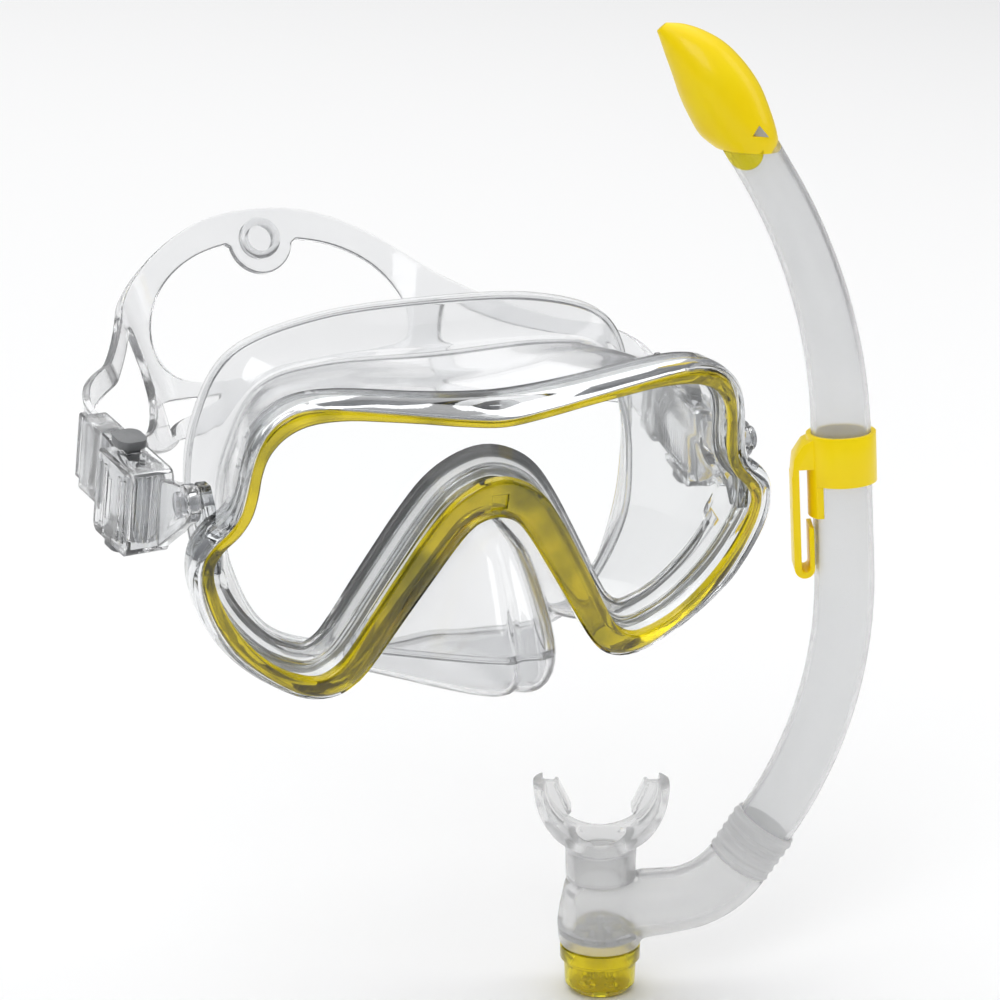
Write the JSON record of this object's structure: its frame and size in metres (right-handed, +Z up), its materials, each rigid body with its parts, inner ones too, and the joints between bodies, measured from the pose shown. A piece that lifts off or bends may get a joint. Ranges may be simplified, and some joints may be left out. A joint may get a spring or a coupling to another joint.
{
  "type": "snorkel mask",
  "caption": "Diving mask with a flat lens, soft face skirt, hinged buckles and head strap, together with an unclipped J-shaped snorkel that has a splash cap, swivel mouthpiece and purge valve.",
  "frame": {"origin": "middle of the plane of the face seal, where the mask meets the face", "axes": "+X to the wearer's left, +Y back toward the face and head, +Z up when worn"},
  "size_m": [0.2659, 0.2045, 0.318],
  "materials": {
    "lens": "polished clear tempered glass",
    "clear_frame": "polished clear polycarbonate",
    "amber_trim": "polished see-through amber plastic",
    "clear_silicone": "clear silicone",
    "strap_silicone": "clear silicone",
    "buckle_clear": "clear plastic",
    "keeper_sleeve": "clear grey plastic",
    "smoke_plastic": "grey plastic",
    "button_grey": "dark grey plastic",
    "yellow_plastic": "bright yellow plastic",
    "frosted_tube": "frosted clear tube",
    "white_silicone": "milky silicone",
    "frosted_silicone": "frosted silicone",
    "flap_silicone": "clear silicone",
    "yellow_clear": "see-through yellow plastic"
  },
  "bodies": {
    "mask": {"lens": "lens", "frame": "clear_frame", "trim_ring": "amber_trim", "skirt": "clear_silicone", "pivot_pin_right": "smoke_plastic", "pivot_pin_left": "smoke_plastic"},
    "head_strap": {"strap": "strap_silicone", "buckle_arm_right": "buckle_clear", "buckle_arm_left": "buckle_clear", "buckle_housing_right": "buckle_clear", "buckle_housing_left": "buckle_clear", "strap_keeper_right": "keeper_sleeve", "strap_keeper_left": "keeper_sleeve"},
    "roller_right": {"strap_roller_right": "smoke_plastic"},
    "roller_left": {"strap_roller_left": "smoke_plastic"},
    "button_right_upper": {"release_button_right_upper": "button_grey"},
    "button_right_lower": {"release_button_right_lower": "button_grey"},
    "button_left_upper": {"release_button_left_upper": "button_grey"},
    "button_left_lower": {"release_button_left_lower": "button_grey"},
    "clip": {"snorkel_keeper": "yellow_plastic"},
    "tube": {"snorkel_tube": "frosted_tube", "splash_cap": "yellow_plastic"},
    "lower_tube": {"ribbed_cuff": "white_silicone", "elbow": "frosted_silicone", "purge_seat": "smoke_plastic", "purge_cap": "yellow_clear"},
    "bite": {"mouthpiece": "frosted_silicone"},
    "valve": {"purge_flap": "flap_silicone"}
  },
  "joints": [
    {"name": "strap_swing", "type": "hinge", "parent": "mask", "child": "head_strap", "pos_m": [0, -0.041, 0.015], "axis": [1, 0, 0], "range_deg": [-40, 95]},
    {"name": "strap_roller_right_spin", "type": "hinge", "parent": "head_strap", "child": "roller_right", "pos_m": [-0.08759, -0.01091, 0.00838], "axis": [0.0289, -0.2059, 0.9781], "continuous": true},
    {"name": "strap_roller_left_spin", "type": "hinge", "parent": "head_strap", "child": "roller_left", "pos_m": [0.08759, -0.01091, 0.00838], "axis": [-0.0289, -0.2059, 0.9781], "continuous": true},
    {"name": "release_right_upper_press", "type": "slide", "parent": "head_strap", "child": "button_right_upper", "axis": [-0.0289, 0.2059, -0.9781], "range_m": [0, 0.0015], "stiffness_N_per_m": 700, "springref_m": -0.001},
    {"name": "release_right_lower_press", "type": "slide", "parent": "head_strap", "child": "button_right_lower", "axis": [0.0289, -0.2059, 0.9781], "range_m": [0, 0.0015], "stiffness_N_per_m": 700, "springref_m": -0.001},
    {"name": "release_left_upper_press", "type": "slide", "parent": "head_strap", "child": "button_left_upper", "axis": [0.0289, 0.2059, -0.9781], "range_m": [0, 0.0015], "stiffness_N_per_m": 700, "springref_m": -0.001},
    {"name": "release_left_lower_press", "type": "slide", "parent": "head_strap", "child": "button_left_lower", "axis": [-0.0289, -0.2059, 0.9781], "range_m": [0, 0.0015], "stiffness_N_per_m": 700, "springref_m": -0.001},
    {"name": "snorkel_unclipped_slide", "type": "slide", "parent": "mask", "child": "clip", "axis": [1, 0, 0], "range_m": [0, 0.12]},
    {"name": "tube_height_slide", "type": "slide", "parent": "clip", "child": "tube", "axis": [-0.0474, 0.0221, 0.9986], "range_m": [0, 0.007]},
    {"name": "cuff_swivel", "type": "hinge", "parent": "tube", "child": "lower_tube", "pos_m": [0.13783, 0.03262, -0.13653], "axis": [0.4936, -0.2302, 0.8387], "range_deg": [-30, 30]},
    {"name": "mouthpiece_swivel", "type": "hinge", "parent": "lower_tube", "child": "bite", "pos_m": [0.08897, 0.05541, -0.15], "axis": [0, 0, 1], "range_deg": [-25, 25]},
    {"name": "purge_flap_lift", "type": "slide", "parent": "lower_tube", "child": "valve", "axis": [0, 0, -1], "range_m": [0, 0.0012], "stiffness_N_per_m": 60, "springref_m": -0.0004}
  ]
}
